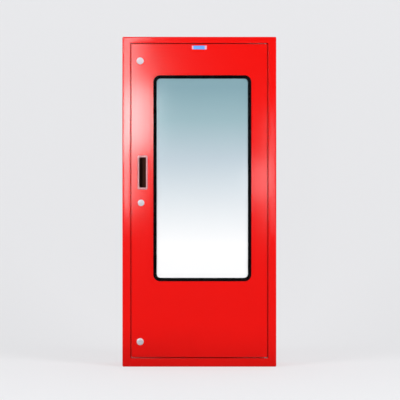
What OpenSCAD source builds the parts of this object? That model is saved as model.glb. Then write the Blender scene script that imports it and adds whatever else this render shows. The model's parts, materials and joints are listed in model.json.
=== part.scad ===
// Standpipe cabinet: a steel cabinet with a glazed door, which holds a hose valve
// and an empty hose reel, both fed from one riser that comes in through the top.
// Millimetres. The front faces -Y, the door is hinged on the +X side, and the
// origin is the centre of the base.

/* [Cabinet] */
// Width over the side panels
cab_w = 700; // [690:5:760]
// Height over the top and bottom panels
cab_h = 1500; // [1480:5:1600]
// Depth from the face frame to the back panel
cab_d = 240; // [240:5:300]
// Thickness of the sheet steel
sheet_t = 1.5; // [1.2:0.1:1.6]

/* [Face frame] */
// Width of the two stiles
stile_w = 37; // [34:1:40]
// Height of the rail over the door
head_h = 29; // [27:1:34]
// Height of the rail under the door
sill_h = 39; // [36:1:42]
// Depth of the frame's lip beside the door
lip_d = 28; // [28:0.5:32]
// Width of the strip that the door closes against
stop_w = 20; // [16:1:20]

/* [Door] */
// Gap between the door and the frame
door_gap = 4; // [3.8:0.1:4.4]
// Depth of the door's pan
door_d = 25; // [24:0.5:25]
// Width of the flange round the back of the pan
pan_flange = 12; // [8:1:12]
// Distance of the hinge pins from the door's face and edge
hinge_inset = 8; // [8:0.1:8.4]
// Diameter of the hinge pins
hinge_pin_d = 8; // [6:0.5:8]

/* [Window] */
// Width over the window's rubber
window_w = 445; // [380:5:445]
// Height over the window's rubber
window_h = 936; // [800:4:936]
// Sideways offset of the window from the middle of the door
window_x = 13.5; // [8:0.5:14]
// Height of the window's middle
window_z = 857; // [840:1:860]
// Corner radius of the window's rubber
window_r = 30; // [24:1:40]
// Width of the rubber's face
gasket_w = 15; // [13:1:18]
// Thickness of the glass
glass_t = 5; // [4:0.5:6]

/* [Pull] */
// Width of the pull's bezel
pull_w = 46; // [42:1:46]
// Height of the pull's bezel
pull_h = 156; // [130:2:160]
// Width of the bezel's rim
pull_rim = 8; // [6:1:8]
// Depth of the pull's cup behind the door's face
pull_d = 22; // [18:1:22]
// Place of the pull across the door
pull_x = -258; // [-262:1:-258]
// Height of the pull's middle
pull_z = 883; // [860:1:900]

/* [Lock and latches] */
// Diameter of the lock's collar
lock_d = 30; // [28:1:32]
// Place of the lock across the door
lock_x = -265; // [-268:1:-262]
// Height of the lock
lock_z = 745; // [730:1:760]
// Diameter of the latches' collars
latch_d = 32; // [30:1:34]
// Place of the two latches across the door
latch_x = -269; // [-271:1:-266]
// Height of the upper latch
latch_hi_z = 1390; // [1370:1:1400]
// Height of the lower latch
latch_lo_z = 114; // [110:1:130]

/* [Pipework] */
// Outside diameter of the riser pipe
riser_od = 76.1; // [70:0.1:76.1]
// Place of the riser across the cabinet
riser_x = -180; // [-184:1:-180]
// Distance of the riser's middle from the back
riser_back = 70; // [68:1:70]
// Height of the hose valve's middle
valve_z = 1105; // [1080:5:1120]
// How far the valve's disc lifts
valve_lift = 15; // [10:1:15]
// Outside diameter of the reel's supply pipe
branch_od = 26.9; // [24:0.1:26.9]
// Height of the reel's stop valve
stop_z = 900; // [890:5:910]

/* [Reel] */
// Diameter of the reel's two discs
reel_d = 480; // [380:10:480]
// Diameter of the reel's drum
drum_d = 190; // [120:10:220]
// Width over the discs
reel_w = 96; // [80:2:96]
// Place of the reel's axle across the cabinet
reel_x = 80; // [70:1:84]
// Height of the reel's axle
reel_z = 640; // [600:5:640]

/* [Wall fixing] */
// Sideways distance of the wall holes
wall_dx = 540; // [500:10:560]
// Upright distance of the wall holes
wall_dz = 1200; // [1100:10:1240]
// Diameter of the wall holes
wall_hole_d = 11; // [9:0.5:13]

/* [Hidden] */
$fn = 64;

red = [0.86, 0.08, 0.05];
steel = [0.78, 0.79, 0.80];
dark = [0.09, 0.09, 0.10];
brass = [0.80, 0.63, 0.30];
pipe_red = [0.62, 0.07, 0.06];

running = 0.05;      // radial clearance of a turning fit
loose = 0.3;         // radial clearance of a thread drawn as a plain cylinder

// Planes of the cabinet
half_w = cab_w / 2;
y_front = -cab_d / 2;
y_back = cab_d / 2;
y_inside = y_back - sheet_t;              // front face of the back panel
open_x = half_w - stile_w;                // half width of the door opening
open_z0 = sill_h;
open_z1 = cab_h - head_h;
y_stop = y_front + lip_d;                 // front face of the stop strips

// Door
door_x = open_x - door_gap;               // half width of the door
door_z0 = open_z0 + door_gap;
door_z1 = open_z1 - door_gap;
y_skin = y_front + sheet_t;               // back face of the door's skin
y_pan = y_front + door_d;                 // back face of the door's pan
hinge_x = door_x - hinge_inset;
hinge_y = y_front + hinge_inset;
pin_r = hinge_pin_d / 2;
pin_engaged = 16;
pin_head_r = pin_r + 2.4;
pin_head_h = 4;
bush_r = pin_r + 2;
bush_h = 14;
buffer_r = 5;
stiff_w = 30;
stiff_d = 10;

// Window
rubber_proud = 3;
rubber_back = 4;
groove = 5;                               // depth of the rubber's two grooves
y_rubber = y_front - rubber_proud;
y_glass = y_front + 1;

// Latches and lock
barrel_r = 11;
barrel_end = y_pan - 3;
collar_proud = 3;
plug_r = 7;
tail_r = 4;
cam_t = 3;
cam_w = 14;
y_cam = y_stop + sheet_t + 1.5;           // front face of every cam
cam_reach = 36;

// Pipework
riser_y = y_back - riser_back;
riser_r = riser_od / 2;
riser_bore = riser_r - 3.6;
tee_r = riser_r + 6;
tee_half = 55;
tee_socket = 15;
coupling_top = cab_h - 8;
coupling_h = 54;
pipe_in_coupling = 22;
inlet_socket = 30;                        // free depth of the coupling's upper socket
socket_play = 0.15;
entry_r = tee_r + 2;                      // hole in the top panel
tee_face = riser_x + 58;                  // end face of the tee's branch
outlet_r = 37.2;
outlet_end = valve_z - 85;
seat_x = tee_face + 26;
disc_t = 12;
stem_r = 9;
bonnet_x = seat_x + disc_t + valve_lift + 39;
valve_x0 = bonnet_x - 38;                 // middle of the hose valve's outlet
gland_x = bonnet_x + 25;
wheel_x = gland_x + 62;
wheel_R = 50;
rim_r = 6;
branch_r = branch_od / 2;
branch_bore = branch_r - 2.65;
lever_stem_r = 5;

// Reel
rear_y = riser_y - 24;                    // back face of the rear disc
front_y = rear_y - reel_w;                // front face of the front disc
disc_sheet = 2;
spindle_r = 17;
spindle_end = front_y - 10;
boss_r = 19;

// Box from its lowest corner to its highest corner
module box(a, b) {
    translate(a) cube(b - a);
}

// Cylinder along +Y from y0 to y1 round the line x, z
module rod_y(x, z, r, y0, y1, sides = $fn) {
    translate([x, y0, z]) rotate([-90, 0, 0]) cylinder(r = r, h = y1 - y0, $fn = sides);
}

// Cylinder along +X from x0 to x1 round the line y, z
module rod_x(y, z, r, x0, x1, sides = $fn) {
    translate([x0, y, z]) rotate([0, 90, 0]) cylinder(r = r, h = x1 - x0, $fn = sides);
}

// Upright cylinder from z0 to z1
module rod_z(x, y, r, z0, z1, sides = $fn) {
    translate([x, y, z0]) cylinder(r = r, h = z1 - z0, $fn = sides);
}

// Rectangle w by h with corners of radius r, round its centre
module rounded_rect(w, h, r) {
    square([w - 2 * r, h], center = true);
    square([w, h - 2 * r], center = true);
    for (sx = [-1, 1], sz = [-1, 1]) {
        translate([sx * (w / 2 - r), sz * (h / 2 - r)]) circle(r);
    }
}

// The same rectangle standing in the XZ plane, from y0 to y1
module upright_plate(x, z, w, h, r, y0, y1) {
    translate([x, y1, z]) rotate([90, 0, 0]) linear_extrude(y1 - y0) rounded_rect(w, h, r);
}

// ---------------------------------------------------------------- cabinet body

module side_panel() {
    color(red) box([-half_w, y_skin, 0], [-half_w + sheet_t, y_inside, cab_h]);
}

module side_panel_left() {
    side_panel();
}

module side_panel_right() {
    mirror([1, 0, 0]) side_panel();
}

module level_panel(z) {
    box([-half_w + sheet_t, y_skin, z], [half_w - sheet_t, y_inside, z + sheet_t]);
}

module top_panel() {
    color(red) difference() {
        level_panel(cab_h - sheet_t);
        rod_z(riser_x, riser_y, entry_r, cab_h - 2 * sheet_t, cab_h + sheet_t);
    }
}

module bottom_panel() {
    color(red) level_panel(0);
}

module back_panel() {
    color(red) difference() {
        box([-half_w, y_inside, 0], [half_w, y_back, cab_h]);
        for (sx = [-1, 1], sz = [-1, 1]) {
            rod_y(sx * wall_dx / 2, cab_h / 2 + sz * wall_dz / 2, wall_hole_d / 2,
                  y_inside - 1, y_back + 1);
        }
    }
}

// ------------------------------------------------------------------ face frame

module stile() {
    color(red) {
        box([-half_w, y_front, 0], [-open_x, y_skin, cab_h]);
        box([-open_x - sheet_t, y_skin, open_z0], [-open_x, y_stop, open_z1]);
    }
}

module stile_left() {
    stile();
}

module stile_right() {
    mirror([1, 0, 0]) stile();
}

// Level member between the stiles: the face from z0 to z1 and a lip from lip_z
module rail(z0, z1, lip_z) {
    color(red) difference() {
        union() {
            box([-open_x, y_front, z0], [open_x, y_skin, z1]);
            box([-open_x - sheet_t, y_skin, lip_z], [open_x + sheet_t, y_stop, lip_z + sheet_t]);
        }
        rod_z(hinge_x, hinge_y, pin_r, lip_z - 1, lip_z + sheet_t + 1);
    }
}

module head_rail() {
    rail(open_z1, cab_h, open_z1);
}

module sill_rail() {
    rail(0, open_z0, open_z0 - sheet_t);
}

module stop_side() {
    color(red) box([-open_x - sheet_t, y_stop, open_z0 - sheet_t],
                   [-open_x + stop_w, y_stop + sheet_t, open_z1 + sheet_t]);
}

module stop_left() {
    stop_side();
}

module stop_right() {
    mirror([1, 0, 0]) stop_side();
}

module stop_level(z) {
    color(red) box([-open_x + stop_w, y_stop, z],
                   [open_x - stop_w, y_stop + sheet_t, z + stop_w + sheet_t]);
}

module stop_top() {
    stop_level(open_z1 - stop_w);
}

module stop_bottom() {
    stop_level(open_z0 - sheet_t);
}

// ----------------------------------------------------------------- door hinges

module hinge_pins() {
    color(steel) {
        rod_z(hinge_x, hinge_y, pin_r, door_z1 - pin_engaged, open_z1 + sheet_t);
        rod_z(hinge_x, hinge_y, pin_head_r, open_z1 + sheet_t, open_z1 + sheet_t + pin_head_h);
        rod_z(hinge_x, hinge_y, pin_r, open_z0 - sheet_t, door_z0 + pin_engaged);
        rod_z(hinge_x, hinge_y, pin_head_r, open_z0 - sheet_t - pin_head_h, open_z0 - sheet_t);
    }
}

module thrust_washer() {
    color(steel) difference() {
        rod_z(hinge_x, hinge_y, pin_head_r, open_z0, door_z0);
        rod_z(hinge_x, hinge_y, pin_r, open_z0 - 1, door_z0 + 1);
    }
}

module hinge_bushes() {
    color(brass) for (z = [door_z0, door_z1 - bush_h]) {
        difference() {
            rod_z(hinge_x, hinge_y, bush_r, z, z + bush_h);
            rod_z(hinge_x, hinge_y, pin_r + running, z - 1, z + bush_h + 1);
        }
    }
}

module door_buffers() {
    mid_z = (open_z0 + open_z1) / 2;
    color(dark) for (k = [-1, 0, 1]) {
        rod_y(-door_x + buffer_r + 1, mid_z + k * 0.38 * cab_h, buffer_r, y_pan, y_stop);
    }
}

// ------------------------------------------------------------------------ door

module door_skin() {
    color(red) difference() {
        box([-door_x, y_front, door_z0], [door_x, y_pan, door_z1]);
        // the inside of the pan, in front of its flange
        box([-door_x + sheet_t, y_skin, door_z0 + sheet_t],
            [door_x - sheet_t, y_pan - sheet_t, door_z1 - sheet_t]);
        // the way in between the flanges
        box([-door_x + pan_flange, y_pan - 2 * sheet_t, door_z0 + pan_flange],
            [door_x - pan_flange, y_pan + 1, door_z1 - pan_flange]);
        // the window
        upright_plate(window_x, window_z, window_w - 2 * groove, window_h - 2 * groove,
                      window_r - groove, y_front - 1, y_skin + 1);
        // the pull's cup
        upright_plate(pull_x, pull_z, pull_w - 12, pull_h - 16, 4, y_front - 1, y_skin + 1);
        // the barrels of the lock and the latches
        for (p = [[lock_x, lock_z], [latch_x, latch_hi_z], [latch_x, latch_lo_z]]) {
            rod_y(p[0], p[1], barrel_r, y_front - 1, y_skin + 1);
        }
        // the hinge bushes
        rod_z(hinge_x, hinge_y, bush_r, door_z0 - 1, door_z0 + sheet_t + 1);
        rod_z(hinge_x, hinge_y, bush_r, door_z1 - sheet_t - 1, door_z1 + 1);
    }
}

// Channel welded to the back of the skin, between two corners in the XZ plane
module channel(x0, x1, z0, z1, along_x) {
    cut_x = along_x ? 0 : sheet_t;
    cut_z = along_x ? sheet_t : 0;
    past_x = along_x ? 1 : 0;
    past_z = along_x ? 0 : 1;
    color(steel) difference() {
        box([x0, y_skin, z0], [x1, y_skin + stiff_d, z1]);
        box([x0 + cut_x - past_x, y_skin - 1, z0 + cut_z - past_z],
            [x1 - cut_x + past_x, y_skin + stiff_d - sheet_t, z1 - cut_z + past_z]);
    }
}

module level_stiffener(z) {
    channel(latch_x + 40, door_x - 20, z - stiff_w / 2, z + stiff_w / 2, true);
}

module stiffener_top() {
    level_stiffener((door_z1 + window_z + window_h / 2) / 2);
}

module stiffener_bottom() {
    level_stiffener((door_z0 + window_z - window_h / 2) / 2);
}

module stiffener_side() {
    mid_x = (door_x + window_x + window_w / 2) / 2;
    channel(mid_x - stiff_w / 2, mid_x + stiff_w / 2,
            window_z - window_h / 2, window_z + window_h / 2, false);
}

module window_gasket() {
    y_end = y_glass + glass_t + rubber_back;
    color(dark) difference() {
        upright_plate(window_x, window_z, window_w, window_h, window_r, y_rubber, y_end);
        // the clear opening
        upright_plate(window_x, window_z, window_w - 2 * gasket_w, window_h - 2 * gasket_w,
                      window_r - gasket_w + 3, y_rubber - 1, y_end + 1);
        // the groove over the edge of the skin
        difference() {
            upright_plate(window_x, window_z, window_w + 2, window_h + 2, window_r + 1,
                          y_front, y_skin);
            upright_plate(window_x, window_z, window_w - 2 * groove, window_h - 2 * groove,
                          window_r - groove, y_front - 1, y_skin + 1);
        }
        // the groove over the edge of the glass
        window_pane();
    }
}

module window_pane() {
    upright_plate(window_x, window_z, window_w - 2 * gasket_w + 2 * groove,
                  window_h - 2 * gasket_w + 2 * groove, window_r - gasket_w + groove,
                  y_glass, y_glass + glass_t);
}

module window_glass() {
    color([0.75, 0.84, 0.87]) window_pane();
}

module nameplate() {
    color([0.20, 0.32, 0.62])
        upright_plate(0, door_z1 - 16, 68, 17, 1.5, y_front - 1, y_front);
}

// ------------------------------------------------------------------------ pull

module pull_bezel() {
    color(steel) difference() {
        upright_plate(pull_x, pull_z, pull_w, pull_h, 8, y_front - 4, y_front);
        upright_plate(pull_x, pull_z, pull_w - 2 * pull_rim, pull_h - 20, 3,
                      y_front - 5, y_front + 1);
    }
}

module pull_cup() {
    color(dark) difference() {
        upright_plate(pull_x, pull_z, pull_w - 12, pull_h - 16, 4, y_front, y_front + pull_d);
        upright_plate(pull_x, pull_z, pull_w - 2 * pull_rim, pull_h - 20, 3,
                      y_front - 1, y_front + pull_d - 2);
    }
}

// Lip over the far half of the cup, which the fingers hook behind
module pull_grip() {
    far_x = pull_x + pull_w / 2 - pull_rim;
    color(dark) box([pull_x, y_front + 3, pull_z - pull_h / 2 + 13],
                     [far_x, y_front + 5, pull_z + pull_h / 2 - 13]);
}

// ------------------------------------------------------------ lock and latches

// Threaded barrel with a collar, bored for its spindle
module collar(x, z, r) {
    color(steel) difference() {
        union() {
            rod_y(x, z, r, y_front - collar_proud, y_front);
            rod_y(x, z, barrel_r, y_front, barrel_end);
        }
        rod_y(x, z, plug_r + running, y_front - collar_proud - 1, barrel_end + 1);
    }
}

// Spindle in the barrel, with the tail and head that hold its cam
module spindle(x, z) {
    rod_y(x, z, plug_r, y_front - collar_proud + 0.5, y_cam);
    rod_y(x, z, tail_r, y_cam, y_cam + cam_t);
    rod_y(x, z, tail_r + 2, y_cam + cam_t, y_cam + cam_t + 2);
}

// Cam plate that hangs from the spindle
module cam(x, z) {
    color(steel) difference() {
        union() {
            rod_y(x, z, cam_w / 2 + 2, y_cam, y_cam + cam_t);
            box([x - cam_w / 2, y_cam, z - cam_reach + cam_w / 2], [x + cam_w / 2, y_cam + cam_t, z]);
            rod_y(x, z - cam_reach + cam_w / 2, cam_w / 2, y_cam, y_cam + cam_t);
        }
        rod_y(x, z, tail_r, y_cam - 1, y_cam + cam_t + 1);
    }
}

module lock_collar() {
    collar(lock_x, lock_z, lock_d / 2);
}

module lock_plug() {
    color(brass) difference() {
        spindle(lock_x, lock_z);
        // the keyway
        box([lock_x - 1, y_front - collar_proud - 1, lock_z - 4],
            [lock_x + 1, y_front + 15, lock_z + 4]);
    }
}

module lock_cam() {
    cam(lock_x, lock_z);
}

// Latch spindle with a three-cornered socket for its key
module latch_spindle(z) {
    color(steel) difference() {
        spindle(latch_x, z);
        rod_y(latch_x, z, 4.5, y_front - collar_proud - 1, y_front + 9, 3);
    }
}

module latch_collar_upper() {
    collar(latch_x, latch_hi_z, latch_d / 2);
}

module latch_spindle_upper() {
    latch_spindle(latch_hi_z);
}

module latch_cam_upper() {
    cam(latch_x, latch_hi_z);
}

module latch_collar_lower() {
    collar(latch_x, latch_lo_z, latch_d / 2);
}

module latch_spindle_lower() {
    latch_spindle(latch_lo_z);
}

module latch_cam_lower() {
    cam(latch_x, latch_lo_z);
}

module latch_nuts() {
    color(steel) for (p = [[lock_x, lock_z], [latch_x, latch_hi_z], [latch_x, latch_lo_z]]) {
        difference() {
            rod_y(p[0], p[1], 15.5, y_skin, y_skin + 5, 6);
            rod_y(p[0], p[1], barrel_r, y_skin - 1, y_skin + 6);
        }
    }
}

// ------------------------------------------------------------------- pipework

// Coupling whose upper socket is free for the building's riser
module inlet_coupling() {
    z0 = coupling_top - coupling_h;
    color(pipe_red) difference() {
        rod_z(riser_x, riser_y, tee_r, z0, coupling_top);
        rod_z(riser_x, riser_y, riser_r, z0 - 1, z0 + pipe_in_coupling);
        rod_z(riser_x, riser_y, riser_bore, z0 - 1, coupling_top + 1);
        rod_z(riser_x, riser_y, riser_r + socket_play, coupling_top - inlet_socket, coupling_top + 1);
    }
}

module inlet_pipe() {
    z0 = valve_z + tee_half - tee_socket;
    z1 = coupling_top - coupling_h + pipe_in_coupling;
    color(pipe_red) difference() {
        rod_z(riser_x, riser_y, riser_r, z0, z1);
        rod_z(riser_x, riser_y, riser_bore, z0 - 1, z1 + 1);
    }
}

module pipe_clamps() {
    z_low = valve_z + tee_half + 60;
    z_high = coupling_top - coupling_h - 45;
    color(steel) for (z = [z_low, z_high]) {
        difference() {
            union() {
                rod_z(riser_x, riser_y, riser_r + 3, z, z + 25);
                box([riser_x - 15, riser_y + riser_r, z], [riser_x + 15, y_inside, z + 25]);
            }
            rod_z(riser_x, riser_y, riser_r, z - 1, z + 26);
        }
    }
}

module riser_tee() {
    color(pipe_red) difference() {
        union() {
            rod_z(riser_x, riser_y, tee_r, valve_z - tee_half, valve_z + tee_half);
            rod_x(riser_y, valve_z, tee_r, riser_x, tee_face);
        }
        rod_z(riser_x, riser_y, riser_bore, valve_z - tee_half - 1, valve_z + tee_half + 1);
        rod_z(riser_x, riser_y, riser_r, valve_z + tee_half - tee_socket, valve_z + tee_half + 1);
        rod_x(riser_y, valve_z, riser_bore, riser_x, tee_face + 1);
    }
}

module valve_body() {
    color(brass) difference() {
        union() {
            rod_x(riser_y, valve_z, tee_r, tee_face, tee_face + 20, 8);
            rod_x(riser_y, valve_z, 40, tee_face + 20, bonnet_x);
            rod_z(valve_x0, riser_y, outlet_r, outlet_end, valve_z);
        }
        rod_x(riser_y, valve_z, 22, tee_face - 1, bonnet_x);
        rod_x(riser_y, valve_z, 32, seat_x, bonnet_x + 1);
        rod_z(valve_x0, riser_y, 30, outlet_end - 1, valve_z);
    }
}

module valve_bonnet() {
    color(brass) difference() {
        union() {
            rod_x(riser_y, valve_z, 32, bonnet_x - 8, bonnet_x);
            rod_x(riser_y, valve_z, 38, bonnet_x, bonnet_x + 10, 6);
            rod_x(riser_y, valve_z, 22, bonnet_x + 10, gland_x);
        }
        rod_x(riser_y, valve_z, stem_r + running, bonnet_x - 9, gland_x + 1);
    }
}

module valve_gland() {
    color(brass) difference() {
        rod_x(riser_y, valve_z, 18, gland_x, gland_x + 13, 6);
        rod_x(riser_y, valve_z, stem_r + running, gland_x - 1, gland_x + 14);
    }
}

module valve_disc() {
    color(brass) rod_x(riser_y, valve_z, 28, seat_x, seat_x + disc_t);
}

module valve_stem() {
    color(brass) {
        rod_x(riser_y, valve_z, stem_r, seat_x + disc_t, wheel_x - 9);
        rod_x(riser_y, valve_z, 6, wheel_x - 9, wheel_x + 17);
    }
}

module handwheel() {
    spokes = 5;
    color(red) difference() {
        union() {
            rod_x(riser_y, valve_z, 16, wheel_x - 9, wheel_x + 9);
            translate([wheel_x, riser_y, valve_z]) rotate([0, 90, 0]) {
                rotate_extrude() translate([wheel_R, 0]) circle(rim_r);
                for (k = [0 : spokes - 1]) {
                    rotate([0, 0, k * 360 / spokes]) rotate([0, 90, 0])
                        translate([0, 0, 10]) cylinder(r = 4, h = wheel_R - 12);
                }
            }
        }
        rod_x(riser_y, valve_z, 6, wheel_x - 10, wheel_x + 10);
    }
}

module handwheel_nut() {
    color(steel) difference() {
        rod_x(riser_y, valve_z, 11, wheel_x + 9, wheel_x + 15, 6);
        rod_x(riser_y, valve_z, 6, wheel_x + 8, wheel_x + 16);
    }
}

module outlet_cap() {
    skirt = 20;
    floor_t = 8;
    color(brass) difference() {
        union() {
            rod_z(valve_x0, riser_y, outlet_r + 5, outlet_end - floor_t, outlet_end + skirt);
            for (sx = [-1, 1]) {
                box([valve_x0 + sx * 46 - 8, riser_y - 6, outlet_end - floor_t],
                    [valve_x0 + sx * 46 + 8, riser_y + 6, outlet_end + 6]);
            }
        }
        rod_z(valve_x0, riser_y, outlet_r + loose, outlet_end, outlet_end + skirt + 1);
    }
}

module reducer_bush() {
    z0 = valve_z - tee_half;
    color(steel) difference() {
        union() {
            rod_z(riser_x, riser_y, tee_r - 4, z0 - 14, z0, 6);
            rod_z(riser_x, riser_y, riser_bore, z0, z0 + 20);
        }
        rod_z(riser_x, riser_y, branch_r, z0 - 15, z0);
        rod_z(riser_x, riser_y, branch_bore, z0 - 1, z0 + 21);
    }
}

// Three lengths of pipe from the tee to the reel
module branch_pipes() {
    socket = 10;
    color(pipe_red) {
        difference() {
            rod_z(riser_x, riser_y, branch_r, stop_z + 25 - socket, valve_z - tee_half);
            rod_z(riser_x, riser_y, branch_bore, stop_z, valve_z);
        }
        difference() {
            rod_z(riser_x, riser_y, branch_r, reel_z + 16, stop_z - 25 + socket);
            rod_z(riser_x, riser_y, branch_bore, reel_z, stop_z);
        }
        difference() {
            rod_x(riser_y, reel_z, branch_r, riser_x + 16, reel_x - 24);
            rod_x(riser_y, reel_z, branch_bore, riser_x, reel_x);
        }
    }
}

module branch_elbow() {
    reach = 28;
    color(steel) difference() {
        union() {
            translate([riser_x, riser_y, reel_z]) sphere(boss_r);
            rod_z(riser_x, riser_y, boss_r, reel_z, reel_z + reach);
            rod_x(riser_y, reel_z, boss_r, riser_x, riser_x + reach);
        }
        rod_z(riser_x, riser_y, branch_bore, reel_z, reel_z + reach + 1);
        rod_x(riser_y, reel_z, branch_bore, riser_x, riser_x + reach + 1);
        rod_z(riser_x, riser_y, branch_r, reel_z + 16, reel_z + reach + 1);
        rod_x(riser_y, reel_z, branch_r, riser_x + 16, riser_x + reach + 1);
    }
}

module stop_valve() {
    color(brass) difference() {
        union() {
            rod_z(riser_x, riser_y, boss_r + 3, stop_z - 25, stop_z + 25);
            rod_y(riser_x, stop_z, 12, riser_y - 30, riser_y);
        }
        rod_z(riser_x, riser_y, branch_r, stop_z + 15, stop_z + 26);
        rod_z(riser_x, riser_y, branch_r, stop_z - 26, stop_z - 15);
        rod_z(riser_x, riser_y, branch_bore, stop_z - 16, stop_z + 16);
        rod_y(riser_x, stop_z, lever_stem_r + running, riser_y - 31, riser_y - 16);
    }
}

module stop_lever() {
    y_lever = riser_y - 35;
    color([0.75, 0.10, 0.08]) {
        rod_y(riser_x, stop_z, lever_stem_r, y_lever, riser_y - 17);
        rod_y(riser_x, stop_z, 11, y_lever, y_lever + 3);
        box([riser_x, y_lever, stop_z - 8], [riser_x + 80, y_lever + 3, stop_z + 8]);
        rod_y(riser_x + 80, stop_z, 8, y_lever, y_lever + 3);
    }
}

// ------------------------------------------------------------------------ reel

module reel_bracket() {
    color(pipe_red) upright_plate(reel_x, reel_z, 180, 220, 12, y_inside - 4, y_inside);
}

module reel_spindle() {
    boss_x = reel_x - 36;
    color(steel) difference() {
        union() {
            rod_y(reel_x, reel_z, spindle_r, spindle_end, y_inside - 4);
            rod_y(reel_x, reel_z, spindle_r + 12, y_inside - 14, y_inside - 4);
            rod_x(riser_y, reel_z, boss_r, boss_x, reel_x);
        }
        rod_y(reel_x, reel_z, 12, spindle_end - 1, riser_y + 12);
        rod_x(riser_y, reel_z, branch_bore, boss_x - 1, reel_x);
        rod_x(riser_y, reel_z, branch_r, boss_x - 1, reel_x - 24);
    }
}

module reel_disc(y0) {
    color(red) difference() {
        rod_y(reel_x, reel_z, reel_d / 2, y0, y0 + disc_sheet);
        rod_y(reel_x, reel_z, spindle_r + loose, y0 - 1, y0 + disc_sheet + 1);
    }
}

module reel_disc_front() {
    reel_disc(front_y);
}

module reel_disc_rear() {
    reel_disc(rear_y - disc_sheet);
}

// Drum, and inside it the bearing tube that turns on the spindle; the discs join them
module reel_drum() {
    y0 = front_y + disc_sheet;
    y1 = rear_y - disc_sheet;
    color(red) {
        difference() {
            rod_y(reel_x, reel_z, drum_d / 2, y0, y1);
            rod_y(reel_x, reel_z, drum_d / 2 - 2, y0 - 1, y1 + 1);
        }
        difference() {
            rod_y(reel_x, reel_z, spindle_r + 7, y0, y1);
            rod_y(reel_x, reel_z, spindle_r + running, y0 - 1, y1 + 1);
        }
    }
}

module spindle_cap() {
    color(steel) difference() {
        rod_y(reel_x, reel_z, spindle_r + 7, front_y - 14, front_y - 1);
        rod_y(reel_x, reel_z, spindle_r, spindle_end, front_y);
    }
}

side_panel_left();
side_panel_right();
top_panel();
bottom_panel();
back_panel();
stile_left();
stile_right();
head_rail();
sill_rail();
stop_left();
stop_right();
stop_top();
stop_bottom();
hinge_pins();
thrust_washer();
door_buffers();
door_skin();
hinge_bushes();
stiffener_top();
stiffener_bottom();
stiffener_side();
window_gasket();
window_glass();
nameplate();
pull_bezel();
pull_cup();
pull_grip();
lock_collar();
lock_plug();
lock_cam();
latch_collar_upper();
latch_spindle_upper();
latch_cam_upper();
latch_collar_lower();
latch_spindle_lower();
latch_cam_lower();
latch_nuts();
inlet_coupling();
inlet_pipe();
pipe_clamps();
riser_tee();
valve_body();
valve_bonnet();
valve_gland();
valve_disc();
valve_stem();
handwheel();
handwheel_nut();
outlet_cap();
reducer_bush();
branch_pipes();
branch_elbow();
stop_valve();
stop_lever();
reel_bracket();
reel_spindle();
reel_disc_front();
reel_disc_rear();
reel_drum();
spindle_cap();
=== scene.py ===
"""Looks of the standpipe cabinet, laid out as an add-on: sizes and colours are properties,
each piece or group of like pieces is an operator, and main() calls them in order."""

import json
import math

import bmesh
import bpy
from bpy.props import FloatProperty, FloatVectorProperty, IntProperty, PointerProperty
from bpy.types import Operator, Panel, PropertyGroup
from mathutils import Matrix, Vector


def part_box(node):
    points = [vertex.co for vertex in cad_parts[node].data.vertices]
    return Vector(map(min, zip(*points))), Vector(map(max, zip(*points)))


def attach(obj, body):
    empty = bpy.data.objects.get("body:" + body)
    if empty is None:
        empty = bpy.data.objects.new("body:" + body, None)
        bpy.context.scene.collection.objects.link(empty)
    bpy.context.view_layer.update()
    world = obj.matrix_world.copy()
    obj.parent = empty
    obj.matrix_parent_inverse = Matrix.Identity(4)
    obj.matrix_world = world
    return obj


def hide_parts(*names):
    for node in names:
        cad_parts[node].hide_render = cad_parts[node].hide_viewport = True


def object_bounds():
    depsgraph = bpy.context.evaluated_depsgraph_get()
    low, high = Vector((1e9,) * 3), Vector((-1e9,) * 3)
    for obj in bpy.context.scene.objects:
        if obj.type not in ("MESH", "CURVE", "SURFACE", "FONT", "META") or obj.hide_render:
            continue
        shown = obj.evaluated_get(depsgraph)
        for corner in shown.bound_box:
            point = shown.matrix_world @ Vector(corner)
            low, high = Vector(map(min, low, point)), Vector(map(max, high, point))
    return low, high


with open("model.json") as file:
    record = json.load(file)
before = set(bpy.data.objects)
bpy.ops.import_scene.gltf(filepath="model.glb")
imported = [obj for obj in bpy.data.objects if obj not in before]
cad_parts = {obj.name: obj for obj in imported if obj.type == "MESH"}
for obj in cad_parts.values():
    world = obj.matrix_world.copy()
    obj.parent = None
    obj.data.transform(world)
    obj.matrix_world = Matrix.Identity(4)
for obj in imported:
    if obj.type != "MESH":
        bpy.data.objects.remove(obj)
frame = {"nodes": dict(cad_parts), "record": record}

bl_info = {
    "name": "Standpipe cabinet",
    "version": (1, 0, 0),
    "blender": (4, 5, 0),
    "location": "3D View > Sidebar > Cabinet",
    "description": "Steel cabinet with a glazed door, a hose valve and a hose reel",
    "category": "Add Mesh",
}

MM = 0.001
CAD_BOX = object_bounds()
BODIES = frame["record"]["behaviour"]["bodies"]
SLOTS = {part["node"]: part["material_slot"] for part in frame["record"]["subparts"]}
FLOAT = "NodeSocketFloat"
MERGE = 0.001 * MM               # distance under which two vertices are one
SHARP = math.radians(32)         # angle from which an edge is shaded as sharp


def linear(red, green, blue):
    """Scene-linear colour of an sRGB colour given in 0 to 255."""
    def channel(value):
        value /= 255
        return value / 12.92 if value <= 0.04045 else ((value + 0.055) / 1.055) ** 2.4
    return channel(red), channel(green), channel(blue)


# ------------------------------------------------------------------ properties

def length(name, description, default):
    """Property that holds a length in metres."""
    return FloatProperty(name=name, description=description, default=default,
                         min=0.0, unit="LENGTH", precision=4)


def colour(name, description, default):
    """Property that holds a scene-linear colour."""
    return FloatVectorProperty(name=name, description=description, default=default,
                               size=3, min=0.0, max=1.0, subtype="COLOR")


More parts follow.
